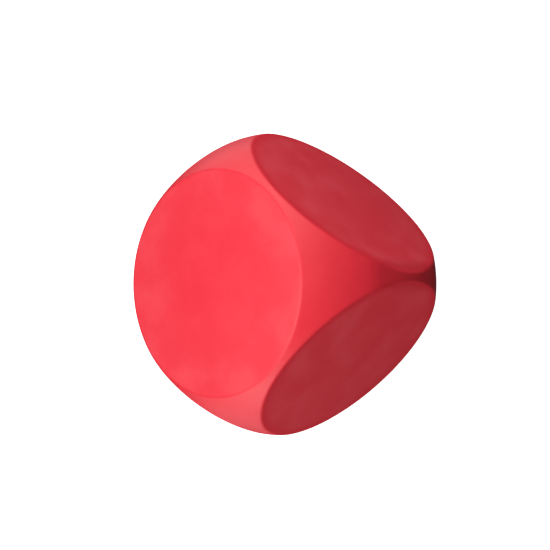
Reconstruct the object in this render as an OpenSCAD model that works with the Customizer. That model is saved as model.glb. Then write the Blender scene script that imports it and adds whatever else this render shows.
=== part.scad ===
// Cue chalk cube: a pressed chalk block shaped as a ball trimmed by six flats,
// standing on the flat that carries its base label.
// Frame: +Z up, origin at the middle of the ring that the block rests on.

/* [Block] */
// Distance between two opposite flats
across_flats = 22.2; // [20:0.1:25.4]
// Width of the ball's surface left between two neighbouring flats, where it is narrowest
neck_w = 0.7; // [0.55:0.05:1.8]
// Radius of the rounded rim round each flat
edge_r = 0.5; // [0.3:0.05:0.6]

/* [Base label] */
// Width of the flat ring left round the label's recess, which the block rests on
rest_ring_w = 1.6; // [1:0.1:4]
// Thickness of the label
label_t = 0.2; // [0.1:0.05:0.4]
// How far the label's face stays inside the base, so that it never touches the table
label_inset = 0.1; // [0.05:0.05:0.3]
// Clearance round the label's edge
label_gap = 0.1; // [0.05:0.05:0.3]

/* [Hidden] */

$fn = 96;
ball_fn = 192;
chalk_red = [0.87, 0.21, 0.26];
label_card = [0.82, 0.78, 0.70];

half = across_flats / 2;
// Where a flat and the ball would meet if the rim were sharp
sharp_face_r = half - neck_w / sqrt(2);
ball_r = norm([half, sharp_face_r]);
// The rim's round touches the flat at flat_r and the ball at ball_touch
round_z = half - edge_r;
flat_r = sqrt(pow(ball_r - edge_r, 2) - pow(round_z, 2));
ball_touch = [flat_r, round_z] * ball_r / (ball_r - edge_r);

recess_r = flat_r - rest_ring_w;
recess_depth = label_t + label_inset;
label_r = recess_r - label_gap;
cut_over = 1;

// Turns +Z to each of the six flats
FLATS = [[0, 0, 0], [180, 0, 0], [90, 0, 0], [-90, 0, 0], [0, 90, 0], [0, -90, 0]];

// Everything outside the rounded rim of the flat at the top of a centred block
module rim_cutter() {
  rotate_extrude()
    difference() {
      polygon([
        [flat_r, round_z],
        [flat_r, half + cut_over],
        [ball_touch.x + cut_over, half + cut_over],
        ball_touch * (1 + cut_over / ball_r),
      ]);
      translate([flat_r, round_z]) circle(edge_r);
    }
}

// The block without its recess, centred on the origin
module rounded_ball_cube() {
  difference() {
    intersection() {
      sphere(ball_r, $fn = ball_fn);
      cube(across_flats, center = true);
    }
    for (turn = FLATS) rotate(turn) rim_cutter();
  }
}

module chalk_block() {
  color(chalk_red)
    difference() {
      translate([0, 0, half]) rounded_ball_cube();
      translate([0, 0, -cut_over]) cylinder(r = recess_r, h = cut_over + recess_depth);
    }
}

module base_label() {
  color(label_card)
    translate([0, 0, label_inset]) cylinder(r = label_r, h = label_t);
}

chalk_block();
base_label();
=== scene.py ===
"""Looks of a cue chalk cube: a pressed chalk block with a plain paper label under it.

The block is a ball trimmed by six flats, with a soft round rim where each flat meets the
ball. Everything is in metres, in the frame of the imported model: +Z up, origin in the
middle of the ring that the block rests on.
"""

import logging
import math
from dataclasses import dataclass, field
from enum import Enum
from typing import Any

import bpy
from mathutils import Matrix, Vector


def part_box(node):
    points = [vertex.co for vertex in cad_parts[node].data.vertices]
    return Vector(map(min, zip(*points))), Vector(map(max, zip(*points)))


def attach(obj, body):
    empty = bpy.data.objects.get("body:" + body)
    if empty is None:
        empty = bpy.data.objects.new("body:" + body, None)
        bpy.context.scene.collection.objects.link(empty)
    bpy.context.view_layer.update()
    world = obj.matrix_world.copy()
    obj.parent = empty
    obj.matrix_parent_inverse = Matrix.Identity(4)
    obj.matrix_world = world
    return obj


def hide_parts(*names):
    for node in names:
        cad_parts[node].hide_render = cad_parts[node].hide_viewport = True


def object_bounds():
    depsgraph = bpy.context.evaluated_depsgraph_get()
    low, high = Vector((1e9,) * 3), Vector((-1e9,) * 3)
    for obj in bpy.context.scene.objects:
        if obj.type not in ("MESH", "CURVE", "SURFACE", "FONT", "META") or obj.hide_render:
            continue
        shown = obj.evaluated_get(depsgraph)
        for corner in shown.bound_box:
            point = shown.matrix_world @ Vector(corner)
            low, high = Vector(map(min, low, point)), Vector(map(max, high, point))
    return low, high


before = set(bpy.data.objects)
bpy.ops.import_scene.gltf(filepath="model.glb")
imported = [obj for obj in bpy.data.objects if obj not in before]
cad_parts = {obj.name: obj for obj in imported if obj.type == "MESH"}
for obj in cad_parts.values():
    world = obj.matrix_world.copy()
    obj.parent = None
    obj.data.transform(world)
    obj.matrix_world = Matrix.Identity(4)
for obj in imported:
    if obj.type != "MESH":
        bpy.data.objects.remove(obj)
CAD_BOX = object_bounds()

LOG = logging.getLogger("cue_chalk")
MM = 0.001
WELD = 0.001 * MM
RgbColor = tuple[float, float, float]


# ---------------------------------------------------------------------------- node graphs


class Term:
    """One output socket of a node graph, with Python's operators as Math nodes."""

    def __init__(self, graph: "Graph", socket: bpy.types.NodeSocket) -> None:
        """Wraps a socket.

        Args:
            graph: the graph that new Math nodes go into.
            socket: the output socket that holds the value.
        """
        self.graph = graph
        self.socket = socket

    def _math(self, operation: str, *values: Any) -> "Term":
        """Adds one Math node over the given values and returns its result."""
        numbered = dict(enumerate(values))
        return self.graph.node("ShaderNodeMath", {"operation": operation}, numbered)

    def __add__(self, other: Any) -> "Term":
        """Sum."""
        return self._math("ADD", self, other)

    def __radd__(self, other: Any) -> "Term":
        """Sum with a number on the left."""
        return self._math("ADD", other, self)

    def __sub__(self, other: Any) -> "Term":
        """Difference."""
        return self._math("SUBTRACT", self, other)

    def __rsub__(self, other: Any) -> "Term":
        """Difference from a number on the left."""
        return self._math("SUBTRACT", other, self)

    def __mul__(self, other: Any) -> "Term":
        """Product."""
        return self._math("MULTIPLY", self, other)

    def __rmul__(self, other: Any) -> "Term":
        """Product with a number on the left."""
        return self._math("MULTIPLY", other, self)

    def __truediv__(self, other: Any) -> "Term":
        """Quotient; dividing by zero gives zero."""
        return self._math("DIVIDE", self, other)

    def __rtruediv__(self, other: Any) -> "Term":
        """Quotient of a number on the left."""
        return self._math("DIVIDE", other, self)

    def __abs__(self) -> "Term":
        """Size without sign."""
        return self._math("ABSOLUTE", self)

    def __gt__(self, other: Any) -> "Term":
        """One where this is greater, else zero."""
        return self._math("GREATER_THAN", self, other)

    def sin(self) -> "Term":
        """Sine of an angle in radians."""
        return self._math("SINE", self)

    def cos(self) -> "Term":
        """Cosine of an angle in radians."""
        return self._math("COSINE", self)

    def sign(self) -> "Term":
        """Minus one, zero or one."""
        return self._math("SIGN", self)

    def larger(self, other: Any) -> "Term":
        """The larger of the two."""
        return self._math("MAXIMUM", self, other)

    def root(self) -> "Term":
        """Square root."""
        return self._math("SQRT", self)

    def angle_over(self, other: Any) -> "Term":
        """Angle whose tangent is this over the other, in radians."""
        return self._math("ARCTAN2", self, other)

    def step(self, start: float, end: float) -> "Term":
        """Straight climb from 0 at start to 1 at end, held outside them."""
        values = {"Value": self, "From Min": start, "From Max": end}
        return self.graph.node("ShaderNodeMapRange", {"clamp": True}, values)

    def smooth_step(self, start: float, end: float) -> "Term":
        """Smooth climb from 0 at start to 1 at end, held outside them."""
        settings = {"interpolation_type": "SMOOTHSTEP"}
        values = {"Value": self, "From Min": start, "From Max": end}
        return self.graph.node("ShaderNodeMapRange", settings, values)

    def choose(self, low: Any, high: Any) -> "Term":
        """Low where this is zero and high where it is one, blended between."""
        values = {"Factor_Float": self, "A_Float": low, "B_Float": high}
        return self.graph.node("ShaderNodeMix", {"data_type": "FLOAT"}, values, "Result_Float")


class Graph:
    """A shader or geometry node tree that is filled from Python expressions."""

    def __init__(self, tree: bpy.types.NodeTree) -> None:
        """Starts an empty graph.

        Args:
            tree: the node tree to fill; what it holds is cleared.
        """
        self.tree = tree
        tree.nodes.clear()

    @staticmethod
    def pick(sockets: Any, key: int | str) -> bpy.types.NodeSocket:
        """Finds a socket by its number, its identifier or its name.

        Args:
            sockets: a node's inputs or outputs.
            key: number, identifier or name.

        Returns:
            The socket.
        """
        if isinstance(key, int):
            return sockets[key]
        for socket in sockets:
            if socket.identifier == key:
                return socket
        return sockets[key]

    def add(
        self,
        kind: str,
        settings: dict[str, Any] | None = None,
        inputs: dict[int | str, Any] | None = None,
    ) -> bpy.types.Node:
        """Adds a node.

        Args:
            kind: the node's type, such as ShaderNodeTexNoise.
            settings: properties of the node, set before its sockets.
            inputs: a value, a Term or a list of Terms for each socket.

        Returns:
            The node.
        """
        made = self.tree.nodes.new(kind)
        for name, value in (settings or {}).items():
            setattr(made, name, value)
        for key, value in (inputs or {}).items():
            socket = self.pick(made.inputs, key)
            for source in value if isinstance(value, list) else [value]:
                if isinstance(source, Term):
                    self.tree.links.new(source.socket, socket)
                else:
                    socket.default_value = source
        return made

    def node(
        self,
        kind: str,
        settings: dict[str, Any] | None = None,
        inputs: dict[int | str, Any] | None = None,
        output: int | str = 0,
    ) -> Term:
        """Adds a node and takes one of its outputs.

        Args:
            kind: the node's type.
            settings: properties of the node.
            inputs: a value, a Term or a list of Terms for each socket.
            output: number, identifier or name of the output.

        Returns:
            The chosen output.
        """
        return Term(self, self.pick(self.add(kind, settings, inputs).outputs, output))

    def vector(self, x: Any, y: Any, z: Any) -> Term:
        """Three values as one vector."""
        return self.node("ShaderNodeCombineXYZ", None, {0: x, 1: y, 2: z})

    def axes(self, vector: Term) -> list[Term]:
        """The three values of a vector."""
        first = self.node("ShaderNodeSeparateXYZ", None, {0: vector})
        return [Term(self, socket) for socket in first.socket.node.outputs]

    def scaled(self, vector: Term, factor: Any) -> Term:
        """A vector times a number."""
        settings = {"operation": "SCALE"}
        return self.node("ShaderNodeVectorMath", settings, {"Vector": vector, "Scale": factor})

    def blend(self, factor: Any, low: Any, high: Any) -> Term:
        """Blends two colours.

        Args:
            factor: 0 for low, 1 for high.
            low: colour or Term.
            high: colour or Term.

        Returns:
            The blended colour.
        """
        settings = {"data_type": "RGBA"}
        values = {"Factor_Float": factor, "A_Color": low, "B_Color": high}
        return self.node("ShaderNodeMix", settings, values, "Result_Color")

    def noise(
        self, at: Term, lump: float, detail: float = 2.0, rough: float = 0.5, seed: Any = 1.0
    ) -> Term:
        """Seeded cloud noise, about 0.5 on average.

        Args:
            at: where it is read, in metres.
            lump: size of one lump, in metres.
            detail: how many finer layers it has.
            rough: how strong the finer layers are.
            seed: number or Term that picks the pattern.

        Returns:
            A value from 0 to 1.
        """
        values = {"Vector": at, "W": seed, "Scale": 1 / lump, "Detail": detail, "Roughness": rough}
        return self.node("ShaderNodeTexNoise", {"noise_dimensions": "4D"}, values, "Fac")


def rgba(color: RgbColor) -> tuple[float, float, float, float]:
    """The colour with full opacity."""
    return (*color, 1.0)


# ------------------------------------------------------------------------------- finishes


@dataclass(frozen=True)
class PressedChalk:
    """Red chalk powder pressed in a die and dried: dense and satin, under a pale pink tint that is
    partly the chalk's dusty bloom and partly painted sheen.

    Colours are linear. The shares say how much of the most tint lies on the side flats, at the
    top flat's rim and in its middle; the side flats' tint fades out just inside their rims, and
    at the top flat's rim it is partly painted highlight. The zones are read from the attribute
    that is 0 in the middle of a face, 1 at its rim and more than 1 on the rounded rim and the ball.
    """

    red: RgbColor = (0.875, 0.0335, 0.053)
    deep: RgbColor = (0.845, 0.028, 0.0475)
    # Pale pink tint: partly the chalk's dusty bloom, partly painted sheen.
    dust_and_painted_sheen: RgbColor = (0.92, 0.127, 0.16)
    dust_and_painted_sheen_most: float = 0.27
    side_share: float = 0.85
    top_share: float = 0.75
    middle_share: float = 0.3
    # Band where the side flats' pale tint fades out, leaving them deeper red at their rims.
    side_rim_zone: tuple[float, float] = (0.9, 1.0)
    # The top flat's tint grows from its middle to its rim, where it is partly painted highlight.
    paler_outward_zone: tuple[float, float] = (0.25, 0.95)
    rim_zone: tuple[float, float] = (1.0, 1.3)
    top_fade: tuple[float, float] = (0.35 * MM, 0.12 * MM)
    roughness: float = 0.45
    gloss_index: float = 1.42
    sheen: float = 0.015
    sheen_spread: float = 0.45
    grain: float = 0.16 * MM
    grain_height: float = 0.004 * MM
    pore: float = 0.5 * MM
    cloud: float = 3.6 * MM
    patch: float = 1.1 * MM
    top: float = CAD_BOX[1].z

    def material(self) -> bpy.types.Material:
        """Builds the material.

        Returns:
            The finished material.
        """
        made = bpy.data.materials.new("pressed_chalk")
        made.use_nodes = True
        graph = Graph(made.node_tree)
        place = graph.node("ShaderNodeTexCoord", None, None, "Object")
        across = graph.node("ShaderNodeAttribute", {"attribute_name": "across"}, None, "Fac")

        cloud = graph.noise(place, self.cloud, 3.0, 0.55).smooth_step(0.3, 0.7)
        patch = graph.noise(place, self.patch, 4.0, 0.6).smooth_step(0.35, 0.7)
        grain = graph.noise(place, self.grain, 3.0, 0.65)
        _, _, height = graph.axes(place)
        fade_from, fade_to = self.top_fade
        on_top = height.smooth_step(self.top - fade_from, self.top - fade_to)
        # The side flats' pale tint fades out just inside their rims, which stay deeper red.
        side_level = self.side_share * (1 - across.smooth_step(*self.side_rim_zone))
        # On the top flat the pale tint grows towards the rim and runs onto the rounded rim, where it
        # is partly painted highlight.
        outward = across.smooth_step(*self.paler_outward_zone)
        paler_outward = self.middle_share + (1 - self.middle_share) * outward
        top_level = self.top_share * paler_outward * (1 - across.smooth_step(*self.rim_zone))
        level = on_top.choose(side_level, top_level)
        # How much of the pale tint each point gets, in clouds: partly dust, partly painted sheen.
        tint_share = level * (0.55 + 0.9 * cloud * cloud)
        body = graph.blend(0.6 * cloud + 0.4 * patch, rgba(self.deep), rgba(self.red))
        speckled = graph.blend(grain.smooth_step(0.62, 0.8) * 0.10, body, rgba(self.dust_and_painted_sheen))
        # Mixes the pale tint into the chalk's colour: dust and painted sheen.
        base = graph.blend(tint_share * self.dust_and_painted_sheen_most, speckled, rgba(self.dust_and_painted_sheen))

        pores = graph.node(
            "ShaderNodeTexVoronoi",
            {"feature": "F1"},
            {"Vector": place, "Scale": 1 / self.pore, "Randomness": 1.0},
            "Distance",
        )
        pits = (1 - pores.smooth_step(0.05, 0.22)) * patch.smooth_step(0.5, 1.0)
        relief = grain - 1.4 * pits
        bump = graph.node(
            "ShaderNodeBump", None, {"Strength": 0.35, "Distance": self.grain_height, "Height": relief}
        )
        rough = self.roughness + 0.08 * (grain - 0.5) + 0.07 * tint_share + 0.15 * pits
        shader = graph.node(
            "ShaderNodeBsdfPrincipled",
            None,
            {
                "Base Color": base,
                "Roughness": rough,
                "Normal": bump,
                "IOR": self.gloss_index,
                "Sheen Weight": self.sheen,
                "Sheen Roughness": self.sheen_spread,
            },
        )
        graph.add("ShaderNodeOutputMaterial", None, {"Surface": shader})
        return made


@dataclass(frozen=True)
class LabelPaper:
    """Uncoated label paper, cream, with fibres and a little chalk dust from handling."""

    cream: RgbColor = (0.68, 0.61, 0.48)
    shade: RgbColor = (0.55, 0.48, 0.36)
    dust: RgbColor = (0.62, 0.13, 0.13)
    fibre: float = 0.22 * MM
    fibre_height: float = 0.012 * MM
    smudge: float = 3.0 * MM
    smudge_share: float = 0.30
    edge_share: float = 0.35
    edge_zone: tuple[float, float] = (0.86, 1.0)

    def material(self) -> bpy.types.Material:
        """Builds the material.

        Returns:
            The finished material.
        """
        made = bpy.data.materials.new("label_paper")
        made.use_nodes = True
        graph = Graph(made.node_tree)
        place = graph.node("ShaderNodeTexCoord", None, None, "Object")
        across = graph.node("ShaderNodeAttribute", {"attribute_name": "across"}, None, "Fac")

        drawn_out = {"Location": (0, 0, 0), "Rotation": (0, 0, 0.4), "Scale": (1, 0.22, 1)}
        along = graph.node("ShaderNodeMapping", None, {"Vector": place, **drawn_out})
        fibres = graph.noise(along, self.fibre, 4.0, 0.7)
        pulp = graph.noise(place, self.smudge / 2, 3.0)
        smudge = graph.noise(place, self.smudge, 4.0, 0.6).smooth_step(0.5, 0.75)
        sheet = graph.blend(fibres.smooth_step(0.35, 0.7), rgba(self.shade), rgba(self.cream))
        aged = graph.blend(pulp.smooth_step(0.4, 0.7) * 0.25, sheet, rgba(self.shade))
        edge = across.smooth_step(*self.edge_zone) * self.edge_share
        tint_share = smudge * self.smudge_share + edge * (0.5 + smudge)
        base = graph.blend(tint_share, aged, rgba(self.dust))
        bump = graph.node(
            "ShaderNodeBump", None, {"Strength": 0.6, "Distance": self.fibre_height, "Height": fibres}
        )
        rough = 0.82 + 0.12 * (fibres - 0.5)
        shader = graph.node(
            "ShaderNodeBsdfPrincipled",
            None,
            {"Base Color": base, "Roughness": rough, "Normal": bump, "IOR": 1.45},
        )
        graph.add("ShaderNodeOutputMaterial", None, {"Surface": shader})
        return made


@dataclass(frozen=True)
class LightTable:
    """The white floor that the object stands on, lit from inside."""

    white: RgbColor = (0.9, 0.9, 0.9)
    glow: float = 1.0

    def material(self) -> bpy.types.Material:
        """Builds the material.

        Returns:
            The finished material.
        """
        made = bpy.data.materials.new("light_table")
        made.use_nodes = True
        graph = Graph(made.node_tree)
        values = {
            "Base Color": rgba(self.white),
            "Roughness": 0.9,
            "Emission Color": rgba((1.0, 1.0, 1.0)),
            "Emission Strength": self.glow,
        }
        shader = graph.node("ShaderNodeBsdfPrincipled", None, values)
        graph.add("ShaderNodeOutputMaterial", None, {"Surface": shader})
        return made


# ------------------------------------------------------------------------ geometry pieces


class Side(Enum):
    """The six flats, each with the turn that brings +Z to it, in degrees."""

    TOP = (0, 0, 0)
    BASE = (180, 0, 0)
    FRONT = (90, 0, 0)
    BACK = (-90, 0, 0)
    RIGHT = (0, 90, 0)
    LEFT = (0, -90, 0)

    @property
    def turn(self) -> tuple[float, float, float]:
        """The turn in radians."""
        return tuple(math.radians(angle) for angle in self.value)


class NodeMesh:
    """A mesh piece made by a geometry node tree with named inputs."""

    def __init__(self, name: str) -> None:
        """Starts a tree.

        Args:
            name: name of the piece and of its tree.
        """
        self.name = name
        self.tree = bpy.data.node_groups.new(f"{name}_rule", "GeometryNodeTree")
        self.graph = Graph(self.tree)
        self.source = self.tree.nodes.new("NodeGroupInput")
        self.values: dict[str, float] = {}

    def size(self, name: str, value: float) -> Term:
        """Adds a named number to the tree's inputs.

        Args:
            name: name of the input.
            value: the number, in metres if it is a length.

        Returns:
            The input's value inside the tree.
        """
        made = self.tree.interface.new_socket(name, in_out="INPUT", socket_type="NodeSocketFloat")
        self.values[made.identifier] = value
        return Term(self.graph, self.graph.pick(self.source.outputs, made.identifier))

    def finish(self, geometry: Term, material: bpy.types.Material) -> bpy.types.Object:
        """Ends the tree, evaluates it and keeps the result as a plain mesh.

        Args:
            geometry: what the tree makes.
            material: the piece's finish.

        Returns:
            The piece, at the origin, with no modifier.
        """
        real = self.graph.node("GeometryNodeRealizeInstances", None, {"Geometry": geometry})
        dressed = self.graph.node(
            "GeometryNodeSetMaterial", None, {"Geometry": real, "Material": material}
        )
        self.tree.interface.new_socket("Mesh", in_out="OUTPUT", socket_type="NodeSocketGeometry")
        self.graph.add("NodeGroupOutput", None, {0: dressed})
        piece = bpy.data.objects.new(self.name, bpy.data.meshes.new(self.name))
        bpy.context.scene.collection.objects.link(piece)
        modifier = piece.modifiers.new("rule", "NODES")
        modifier.node_group = self.tree
        for identifier, value in self.values.items():
            modifier[identifier] = value
        depsgraph = bpy.context.evaluated_depsgraph_get()
        mesh = bpy.data.meshes.new_from_object(piece.evaluated_get(depsgraph))
        piece.modifiers.clear()
        piece.data = mesh
        return piece


@dataclass(frozen=True)
class RoundGrid:
    """A square grid drawn as rings: its middle becomes circles, its outer edge stays square."""

    mesh: Term
    ring: Term
    out_x: Term
    out_y: Term
    slant: Term


def round_grid(graph: Graph, rings: int) -> RoundGrid:
    """Adds a grid whose points know their ring and the direction they lie in.

    Args:
        graph: the geometry graph.
        rings: number of rings between the middle and the outer edge.

    Returns:
        The flat grid and, for each point, its ring number, the two parts of its direction
        from the middle, and the cosine of its angle from the nearest grid axis.
    """
    count = 2 * rings + 1
    values = {"Size X": 2.0, "Size Y": 2.0, "Vertices X": count, "Vertices Y": count}
    mesh = graph.node("GeometryNodeMeshGrid", None, values, "Mesh")
    u, v, _ = graph.axes(graph.node("GeometryNodeInputPosition"))
    upright = abs(v) > abs(u)
    major = upright.choose(u, v)
    angle = upright.choose(v, u) / major * (math.pi / 4)
    along = major.sign() * angle.cos()
    aside = major.sign() * angle.sin()
    return RoundGrid(
        mesh=mesh,
        ring=abs(u).larger(abs(v)) * rings,
        out_x=upright.choose(along, aside),
        out_y=upright.choose(aside, along),
        slant=angle.cos(),
    )


def marked(graph: Graph, geometry: Term, across: Term) -> Term:
    """Stores how far out each point lies, which the finishes read.

    The points must still lie on the flat grid, because the values are read from it.

    Args:
        graph: the geometry graph.
        geometry: the flat grid.
        across: 0 in the middle of the face and 1 at its rim.

    Returns:
        The grid with the attribute.
    """
    return graph.node(
        "GeometryNodeStoreNamedAttribute",
        {"data_type": "FLOAT", "domain": "POINT"},
        {"Geometry": geometry, "Name": "across", "Value": across},
    )


def placed(graph: Graph, geometry: Term, place: Term) -> Term:
    """The same mesh with its points moved to new places."""
    return graph.node("GeometryNodeSetPosition", None, {"Geometry": geometry, "Position": place})


@dataclass
class ChalkBlock:
    """The pressed block: a ball trimmed by six flats, with a recess for the label below."""

    neck: float = 0.7 * MM
    rim: float = 0.5 * MM
    label_gap: float = 0.1 * MM
    draft: float = 0.03 * MM
    recess_rings: int = 24
    land_rings: int = 10
    rim_rings: int = 11
    ball_rings: int = 14
    rub_width: float = 0.78 * MM
    rub_start: float = 0.92 * MM
    rub_soft: float = 0.14 * MM
    rub_across_x: float = 0.4 * MM
    rub_across_y: float = 0.16 * MM
    lump: float = 2.2 * MM
    unevenness: float = 0.012 * MM
    seed: int = 7
    finish: PressedChalk = field(default_factory=PressedChalk)

    def __post_init__(self) -> None:
        """Works out the sizes that follow from the frame."""
        low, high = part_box("chalk_block")
        label_low, label_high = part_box("base_label")
        self.half = (high.z - low.z) / 2
        self.sharp_face = self.half - self.neck / math.sqrt(2)
        self.ball = math.hypot(self.half, self.sharp_face)
        self.flat = math.sqrt((self.ball - self.rim) ** 2 - (self.half - self.rim) ** 2)
        self.recess = (label_high.x - label_low.x) / 2 + self.label_gap
        self.recess_depth = label_high.z

    def _flat(self, piece: NodeMesh, sizes: dict[str, Term], depth: Any) -> Term:
        """One flat with its rim and its share of the ball, facing +Z round the middle.

        Args:
            piece: the tree to draw in.
            sizes: the tree's named sizes.
            depth: how deep the round recess in the flat is.

        Returns:
            The patch as a mesh.
        """
        wall = self.recess_rings + 1
        land = wall + self.land_rings
        rim = land + self.rim_rings
        rings = rim + self.ball_rings
        graph = piece.graph
        grid = round_grid(graph, rings)
        fallen = 1 - grid.ring.step(self.recess_rings, wall)
        radius = (
            (sizes["recess"] - sizes["draft"]) * grid.ring.step(0, self.recess_rings)
            + sizes["draft"] * grid.ring.step(self.recess_rings, wall)
            + (sizes["flat"] - sizes["recess"]) * grid.ring.step(wall, land)
        )
        lean = sizes["flat"].angle_over(sizes["half"] - sizes["rim"])
        bend = lean * grid.ring.step(land, rim)
        disc_out = radius + sizes["rim"] * bend.sin()
        disc_up = sizes["half"] - depth * fallen - sizes["rim"] * (1 - bend.cos())
        corner = math.pi / 2 - grid.slant.angle_over(1.0)
        swing = lean + (corner - lean) * grid.ring.step(rim, rings)
        on_ball = grid.ring > rim
        out = on_ball.choose(disc_out, sizes["ball"] * swing.sin())
        up = on_ball.choose(disc_up, sizes["ball"] * swing.cos())
        place = graph.vector(out * grid.out_x, out * grid.out_y, up)
        across = radius / sizes["flat"] + grid.ring.step(land, rings)
        return placed(graph, marked(graph, grid.mesh, across), place)

    def _rubbed(self, graph: Graph, geometry: Term, across_x: Term, across_y: Term) -> Term:
        """Rubs back two opposite upright necks, where finger and thumb hold the block.

        They are the two where X and Y have opposite signs. Each neck gets a facet on both of
        its sides, which starts softly, because it is the mean of an early and a late climb.

        Args:
            graph: the geometry graph.
            geometry: the block.
            across_x: how far a neck goes in from the X flats.
            across_y: how far it goes in from the Y flats.

        Returns:
            The rubbed block.
        """
        x, y, _ = graph.axes(graph.node("GeometryNodeInputPosition"))
        reach = (x * x + y * y).root()
        start = self.ball - self.rub_start
        held = -1 * x * y > 0.0
        end = start + self.rub_width
        early = reach.step(start - self.rub_soft, end - self.rub_soft)
        late = reach.step(start + self.rub_soft, end + self.rub_soft)
        share = held * (early + late) / (2 * reach)
        shift = graph.vector(-1 * x * share * across_x, -1 * y * share * across_y, 0.0)
        return graph.node("GeometryNodeSetPosition", None, {"Geometry": geometry, "Offset": shift})

    def build(self) -> bpy.types.Object:
        """Makes the block and sets it in the frame.

        Returns:
            The finished piece.
        """
        piece = NodeMesh("pressed_block")
        graph = piece.graph
        sizes = {
            "half": piece.size("Half width", self.half),
            "ball": piece.size("Ball radius", self.ball),
            "flat": piece.size("Flat radius", self.flat),
            "rim": piece.size("Rim radius", self.rim),
            "recess": piece.size("Recess radius", self.recess),
            "draft": piece.size("Recess draft", self.draft),
        }
        depth = piece.size("Recess depth", self.recess_depth)
        uneven = piece.size("Unevenness", self.unevenness)
        seed = piece.size("Seed", float(self.seed))
        plain = self._flat(piece, sizes, 0.0)
        hollowed = self._flat(piece, sizes, depth)
        turned = [
            graph.node(
                "GeometryNodeTransform",
                None,
                {"Geometry": hollowed if side is Side.BASE else plain, "Rotation": side.turn},
            )
            for side in Side
        ]
        joined = graph.node("GeometryNodeJoinGeometry", None, {"Geometry": turned})
        welded = graph.node(
            "GeometryNodeMergeByDistance", None, {"Geometry": joined, "Distance": WELD}
        )
        raised = graph.node(
            "GeometryNodeTransform",
            None,
            {"Geometry": welded, "Translation": graph.vector(0.0, 0.0, sizes["half"])},
        )
        rub_x = piece.size("Rub across X", self.rub_across_x)
        rub_y = piece.size("Rub across Y", self.rub_across_y)
        worn = self._rubbed(graph, raised, rub_x, rub_y)
        lumps = graph.noise(graph.node("GeometryNodeInputPosition"), self.lump, 2.0, 0.5, seed)
        shift = graph.scaled(graph.node("GeometryNodeInputNormal"), (lumps - 0.5) * uneven)
        rough = graph.node("GeometryNodeSetPosition", None, {"Geometry": worn, "Offset": shift})
        made = piece.finish(smoothed(graph, rough), self.finish.material())
        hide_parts("chalk_block")
        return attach(made, "root")


def smoothed(graph: Graph, geometry: Term, sharp_from: float = math.radians(40)) -> Term:
    """Smooth shading everywhere but across edges sharper than an angle.

    Args:
        graph: the geometry graph.
        geometry: the mesh.
        sharp_from: angle from which an edge stays sharp, in radians.

    Returns:
        The mesh with its shading set.
    """
    soft = graph.node("GeometryNodeSetShadeSmooth", {"domain": "FACE"}, {"Geometry": geometry})
    turn = graph.node("GeometryNodeInputMeshEdgeAngle", None, None, "Unsigned Angle")
    return graph.node(
        "GeometryNodeSetShadeSmooth",
        {"domain": "EDGE"},
        {"Geometry": soft, "Selection": turn > sharp_from, "Shade Smooth": False},
    )


@dataclass
class BaseLabel:
    """The paper disc in the recess: two faces and a soft cut edge."""

    face_rings: int = 30
    edge_rings: int = 4
    cockle: float = 0.03 * MM
    lump: float = 5.0 * MM
    seed: int = 3
    finish: LabelPaper = field(default_factory=LabelPaper)

    def __post_init__(self) -> None:
        """Works out the sizes that follow from the frame."""
        low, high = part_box("base_label")
        self.radius = (high.x - low.x) / 2
        self.edge = (high.z - low.z) / 2
        self.middle = (high.z + low.z) / 2

    def build(self) -> bpy.types.Object:
        """Makes the label and sets it in the frame.

        Returns:
            The finished piece.
        """
        piece = NodeMesh("paper_label")
        graph = piece.graph
        radius = piece.size("Radius", self.radius)
        edge = piece.size("Edge radius", self.edge)
        middle = piece.size("Middle height", self.middle)
        cockle = piece.size("Cockle", self.cockle)
        seed = piece.size("Seed", float(self.seed))
        rings = self.face_rings + self.edge_rings
        grid = round_grid(graph, rings)
        bend = grid.ring.step(self.face_rings, rings) * (math.pi / 2)
        out = (radius - edge) * grid.ring.step(0, self.face_rings) + edge * bend.sin()
        place = graph.vector(out * grid.out_x, out * grid.out_y, edge * bend.cos())
        upper = placed(graph, marked(graph, grid.mesh, out / radius), place)
        lower = graph.node(
            "GeometryNodeTransform", None, {"Geometry": upper, "Rotation": Side.BASE.turn}
        )
        joined = graph.node("GeometryNodeJoinGeometry", None, {"Geometry": [upper, lower]})
        welded = graph.node(
            "GeometryNodeMergeByDistance", None, {"Geometry": joined, "Distance": WELD}
        )
        wave = graph.noise(graph.node("GeometryNodeInputPosition"), self.lump, 1.0, 0.5, seed)
        height = middle + (wave - 0.5) * cockle
        laid = graph.node(
            "GeometryNodeSetPosition",
            None,
            {"Geometry": welded, "Offset": graph.vector(0.0, 0.0, height)},
        )
        made = piece.finish(smoothed(graph, laid), self.finish.material())
        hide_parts("base_label")
        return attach(made, "root")


# --------------------------------------------------------------------------------- studio


def direction(azimuth: float, elevation: float) -> Vector:
    """Unit vector towards a place round the object.

    Args:
        azimuth: degrees from the front (-Y) towards +X.
        elevation: degrees above the floor.

    Returns:
        The direction.
    """
    turn, rise = math.radians(azimuth), math.radians(elevation)
    level = math.cos(rise)
    return Vector((math.sin(turn) * level, -math.cos(turn) * level, math.sin(rise)))


@dataclass(frozen=True)
class SoftPanel:
    """A round soft light that faces the object."""

    name: str
    azimuth: float
    elevation: float
    radiance: float
    distance: float
    half_angle: float = 22.0

    def build(self, target: Vector) -> bpy.types.Object:
        """Hangs the panel.

        Args:
            target: the point that it faces.

        Returns:
            The light.
        """
        radius = self.distance * math.tan(math.radians(self.half_angle))
        light = bpy.data.lights.new(self.name, "AREA")
        light.shape = "DISK"
        light.size = 2 * radius
        light.energy = self.radiance * math.pi * math.pi * radius**2
        made = bpy.data.objects.new(self.name, light)
        towards = direction(self.azimuth, self.elevation)
        made.location = target + towards * self.distance
        made.rotation_euler = towards.to_track_quat("Z", "Y").to_euler()
        made.visible_camera = False
        bpy.context.scene.collection.objects.link(made)
        return made


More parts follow.
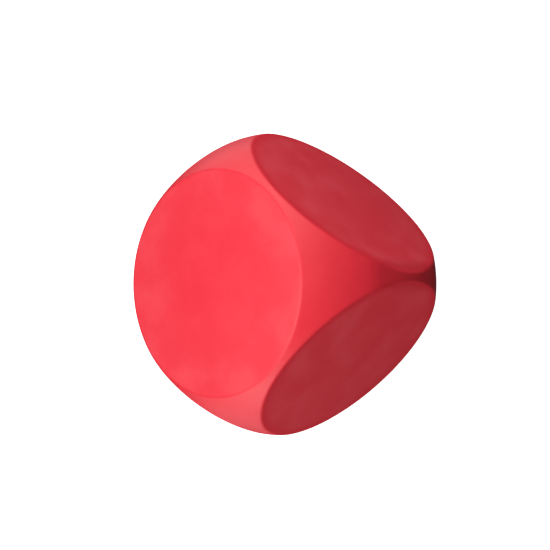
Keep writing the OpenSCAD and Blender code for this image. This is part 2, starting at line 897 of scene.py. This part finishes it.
@dataclass
class Studio:
    """White light table, soft panels and the camera."""

    azimuth: float = 41.0
    elevation: float = 51.0
    roll: float = -89.0
    focal_length: float = 59.8
    sensor: float = 36.0
    distance: float = 93.73 * MM
    aside: float = -0.98 * MM
    above: float = 0.88 * MM
    floor_radius: float = 3.0
    fill: float = 0.02
    panels: tuple[SoftPanel, ...] = (
        SoftPanel("top_panel", -30.0, 80.0, 3.75, 0.09),
        SoftPanel("left_panel", -45.0, 20.0, 2.85, 0.5),
        SoftPanel("left_side_panel", -60.0, 12.0, 1.08, 0.2),
        SoftPanel("left_low_panel", -75.0, -10.0, 0.6, 0.09),
        SoftPanel("front_panel", 60.0, 44.0, 0.95, 0.09),
        SoftPanel("right_panel", 105.0, 32.0, 2.3, 0.09),
        SoftPanel("back_panel", 135.0, 20.0, 1.85, 0.5),
        SoftPanel("back_low_panel", 165.0, -10.0, 0.95, 0.5),
    )

    def _camera(self, target: Vector) -> None:
        """Places the camera, rolled on its side so that the top flat faces left."""
        back = direction(self.azimuth, self.elevation)
        turn = math.radians(self.azimuth)
        level_right = Vector((math.cos(turn), math.sin(turn), 0.0))
        level_up = back.cross(level_right)
        roll = math.radians(self.roll)
        right = level_right * math.cos(roll) + level_up * math.sin(roll)
        up = back.cross(right)
        lens = bpy.data.cameras.new("camera")
        lens.lens = self.focal_length
        lens.sensor_width = self.sensor
        lens.clip_start = 1 * MM
        lens.clip_end = 10.0
        made = bpy.data.objects.new("camera", lens)
        place = target + back * self.distance + right * self.aside + up * self.above
        columns = Matrix((right, up, back)).transposed().to_4x4()
        made.matrix_world = Matrix.Translation(place) @ columns
        bpy.context.scene.collection.objects.link(made)
        bpy.context.scene.camera = made

    def _floor(self) -> None:
        """Lays the light table, which shows white and lets the low panels shine through."""
        mesh = bpy.data.meshes.new("light_table")
        r = self.floor_radius
        mesh.from_pydata([(-r, -r, 0), (r, -r, 0), (r, r, 0), (-r, r, 0)], [], [(0, 1, 2, 3)])
        mesh.materials.append(LightTable().material())
        floor = bpy.data.objects.new("light_table", mesh)
        floor.visible_diffuse = False
        floor.visible_glossy = False
        floor.visible_shadow = False
        bpy.context.scene.collection.objects.link(floor)

    def _surroundings(self) -> None:
        """White to the camera, a weak even fill to everything else."""
        world = bpy.data.worlds.new("studio")
        world.use_nodes = True
        graph = Graph(world.node_tree)
        seen = graph.node("ShaderNodeLightPath", None, None, "Is Camera Ray")
        bright = seen.choose(self.fill, 1.0)
        shader = graph.node(
            "ShaderNodeBackground", None, {"Color": rgba((1.0, 1.0, 1.0)), "Strength": bright}
        )
        graph.add("ShaderNodeOutputWorld", None, {"Surface": shader})
        bpy.context.scene.world = world

    def build(self) -> None:
        """Sets up the whole studio round the object."""
        low, high = CAD_BOX
        target = (low + high) / 2
        self._camera(target)
        self._floor()
        self._surroundings()
        for panel in self.panels:
            panel.build(target)
        bpy.context.scene.view_settings.view_transform = "Standard"
        bpy.context.scene.view_settings.look = "None"


def main() -> None:
    """Builds the studio and the pieces."""
    logging.basicConfig(level=logging.INFO, format="%(name)s: %(message)s")
    Studio().build()
    for maker in (ChalkBlock(), BaseLabel()):
        piece = maker.build()
        LOG.info("%s: %d vertices", piece.name, len(piece.data.vertices))


if __name__ == "__main__":
    main()
